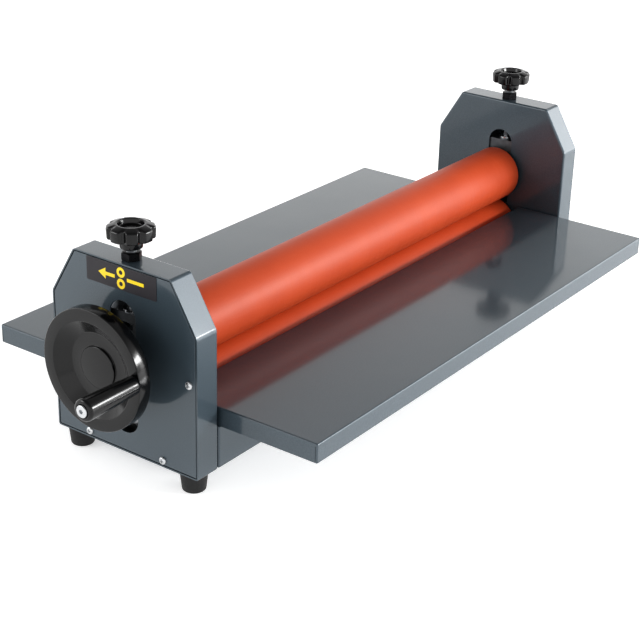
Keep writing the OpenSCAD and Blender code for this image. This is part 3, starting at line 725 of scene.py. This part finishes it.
def flute(bm, middle, radius, root):
    """Draws the grip in along eight round flutes, which fade out at the root radius."""
    half, depth, lobes = 4.6 * MM, 3.6 * MM, 8
    for v in bm.verts:
        flat = (v.co - middle).xy
        if flat.length <= root:
            continue
        turn = ((math.atan2(flat.y, flat.x) * lobes / math.tau) % 1 - 0.5) * math.tau / lobes
        across = abs(radius * math.sin(turn)) / half
        if across >= 1:
            continue
        drawn = depth * (1 + math.cos(math.pi * across)) / 2
        kept = flat.length - drawn * (flat.length - root) / (radius - root)
        v.co.xy = middle.xy + flat * (kept / flat.length)


def top_nut(end):
    """Hexagon nut with both faces turned to a chamfer."""
    low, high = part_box("screw_nut_" + end)
    middle = (low + high) / 2
    height, half, bore = high.z - low.z, 8.5 * MM, SCREW_R + 0.05 * MM
    face_r, corner_r = half * 0.96, half / math.cos(math.pi / 6)
    slope = math.tan(math.radians(30))
    bm = bmesh.new()
    turned(bm, [(bore, 0, 0.5 * MM), (face_r, 0, 0), (corner_r, 0, 0), (corner_r, height, 0),
                (face_r, height, 0), (bore, height, 0.5 * MM)],
           Vector((middle.x, middle.y, low.z)), UP, 72)
    for v in bm.verts:
        flat = (v.co - middle).xy
        if flat.length > face_r + 0.1 * MM:
            turn = (math.atan2(flat.y, flat.x) + math.pi / 6) % (math.pi / 3) - math.pi / 6
            edge = half / math.cos(turn)
            drop = (edge - face_r) * slope
            v.co.xy = middle.xy + flat * (edge / flat.length)
            v.co.z += drop if v.co.z < middle.z else -drop
    finish_piece("top_nut_" + end, bm, "blackened_steel", "frame", ["screw_nut_" + end])


def pressure_screw(end, body):
    """Screw with a real helical thread, a plain neck and a clip groove."""
    low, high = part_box("press_screw_" + end)
    middle = (low + high) / 2
    root = SCREW_R - 0.8 * MM
    core_r = root - 0.05 * MM
    neck_r, groove_r, plain_end = 3.9 * MM, 3 * MM, 8 * MM
    neck_top = low.z + 17.5 * MM
    turns = math.floor((high.z - plain_end - neck_top) / THREAD_PITCH)
    steps = 24
    bm = bmesh.new()
    # One pitch of the thread's outline, its heights in pitches
    tooth = ((root, 0), (SCREW_R, 0.42), (SCREW_R, 0.52), (root, 0.94), (root, 1))
    verts, edges = chain(bm, [
        (middle.x + r, middle.y, neck_top + up * THREAD_PITCH) for r, up in tooth])
    bmesh.ops.spin(
        bm, geom=verts + edges, cent=(middle.x, middle.y, 0), axis=UP, angle=math.tau * turns,
        steps=steps * turns, dvec=UP * (THREAD_PITCH / steps))
    bmesh.ops.remove_doubles(bm, verts=bm.verts[:], dist=NEAR)
    bmesh.ops.holes_fill(bm, edges=[e for e in bm.edges if e.is_boundary])
    groove_low, groove_high = (corner.z - low.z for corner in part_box("screw_clip_" + end))
    neck, length = neck_top - low.z, high.z - low.z
    turned(bm, [
        (0, 0, 0), (neck_r, 0, 0.5 * MM), (neck_r, groove_low, 0), (groove_r, groove_low, 0),
        (groove_r, groove_high, 0), (neck_r, groove_high, 0), (neck_r, neck, 0),
        (core_r, neck + 0.2 * MM, 0), (core_r, length, 0), (0, length, 0)],
        Vector((middle.x, middle.y, low.z)), UP, 32, closed=False)
    finish_piece("threaded_screw_" + end, bm, "machined_steel", body, ["press_screw_" + end])


# ---- the machine ----

for cad in frame["nodes"].values():
    cad.data.materials.clear()
for part in frame["record"]["subparts"]:
    frame["nodes"][part["node"]].data.materials.append(FINISH[part["material_slot"]])

for end, side in (("l", -1), ("r", 1)):
    end_tray(end, side)
    end_cover(end, side, slotted=side < 0)
    cover_screws(end, side)
    top_nut(end)
for end, body in (("l", "knob_left"), ("r", "knob_right")):
    knob(end, body)
    pressure_screw(end, body)
label()
table("front_table")
table("rear_table")
base_channel()
for corner in ("fl", "fr", "bl", "br"):
    rubber_foot("foot_" + corner)
roller_sleeve("upper_sleeve", "upper_roller")
roller_sleeve("lower_sleeve", "lower_roller")
handwheel()
handle()


# ---- studio ----


FLOOR_HALF = 12

# Brightness of the sky by the height of the direction, from level at 0 to overhead at 1
LEVEL_SKY = "#f2f2f2"
OVERHEAD_SKY = "#747474"
SKY_STEPS = ((0.33, "#f2f2f2"), (0.42, "#d0d0d0"), (0.7, "#8c8c8c"))
SKY_STRENGTH = 1.5

# Each softbox: its place, what it faces, its width, height and power in watts
SOFTBOXES = {
    "side_softbox": ((1.7, -1.5, 0.62), (0.05, 0, 0.12), 1.5, 1.1, 17),
    "front_softbox": ((1.0, -1.95, 0.72), (-0.3, 0, 0.15), 0.9, 0.4, 27),
    "rear_softbox": ((-1.35, 1.1, 0.98), (-0.45, 0.1, 0.1), 0.9, 0.7, 7),
}

CAMERA_PLACE = (-1.24695, -0.8977, 0.7495)
CAMERA_AZIMUTH = math.radians(-54.33)
CAMERA_ELEVATION = math.radians(24.07)
CAMERA_ROLL = math.radians(1.56)
CAMERA_LENS = 86.43


def floor():
    """Plain white floor far round the machine."""
    bm = bmesh.new()
    bmesh.ops.create_grid(bm, x_segments=1, y_segments=1, size=FLOOR_HALF)
    mesh = bpy.data.meshes.new("studio_floor")
    bm.to_mesh(mesh)
    bm.free()
    # Opal acrylic lit from below, evenly white
    acrylic = new_material(
        "lit_white_acrylic", Base_Color=linear("#f4f4f4"), Roughness=0.6,
        Emission_Color=linear("#ffffff"), Emission_Strength=0.42)[0]
    mesh.materials.append(acrylic)
    piece = bpy.data.objects.new("studio_floor", mesh)
    bpy.context.scene.collection.objects.link(piece)


def soft_light(name, place, target, width, height, power):
    """Rectangular area light, which the camera doesn't see."""
    lamp = bpy.data.lights.new(name, "AREA")
    lamp.shape = "RECTANGLE"
    lamp.size, lamp.size_y, lamp.energy = width, height, power
    held = bpy.data.objects.new(name, lamp)
    bpy.context.scene.collection.objects.link(held)
    held.location = place
    held.rotation_mode = "QUATERNION"
    held.rotation_quaternion = (Vector(target) - Vector(place)).to_track_quat("-Z", "Y")
    held.visible_camera = False


def studio():
    """Sky that is bright at its foot and dims overhead, three softboxes and the view's look."""
    world = bpy.data.worlds.new("studio")
    bpy.context.scene.world = world
    world.use_nodes = True
    tree = world.node_tree
    height = add(tree, "ShaderNodeSeparateXYZ", {
        "Vector": add(tree, "ShaderNodeTexCoord", {}).outputs["Generated"]}).outputs["Z"]
    shades = add(tree, "ShaderNodeValToRGB", {"Fac": height})
    steps = shades.color_ramp.elements
    steps[0].color, steps[1].color = linear(LEVEL_SKY), linear(OVERHEAD_SKY)
    for at, shade in SKY_STEPS:
        steps.new(at).color = linear(shade)
    background = tree.nodes["Background"]
    tree.links.new(shades.outputs["Color"], background.inputs["Color"])
    background.inputs["Strength"].default_value = SKY_STRENGTH
    for name, setting in SOFTBOXES.items():
        soft_light(name, *setting)
    bpy.context.scene.view_settings.view_transform = "Standard"
    bpy.context.scene.view_settings.look = "Medium High Contrast"


def camera():
    """Long-lens view down from the handwheel's corner, rolled a little."""
    right = Vector((math.cos(CAMERA_AZIMUTH), math.sin(CAMERA_AZIMUTH), 0))
    back = Vector((math.sin(CAMERA_AZIMUTH) * math.cos(CAMERA_ELEVATION),
                   -math.cos(CAMERA_AZIMUTH) * math.cos(CAMERA_ELEVATION),
                   math.sin(CAMERA_ELEVATION)))
    up = back.cross(right)
    rolled = right * math.cos(CAMERA_ROLL) + up * math.sin(CAMERA_ROLL)
    upright = up * math.cos(CAMERA_ROLL) - right * math.sin(CAMERA_ROLL)
    view = bpy.data.cameras.new("studio_camera")
    view.sensor_width = 36
    view.lens = CAMERA_LENS
    held = bpy.data.objects.new("studio_camera", view)
    bpy.context.scene.collection.objects.link(held)
    turn = Matrix((rolled, upright, back)).transposed().to_4x4()
    held.matrix_world = Matrix.Translation(CAMERA_PLACE) @ turn
    bpy.context.scene.camera = held


floor()
studio()
camera()
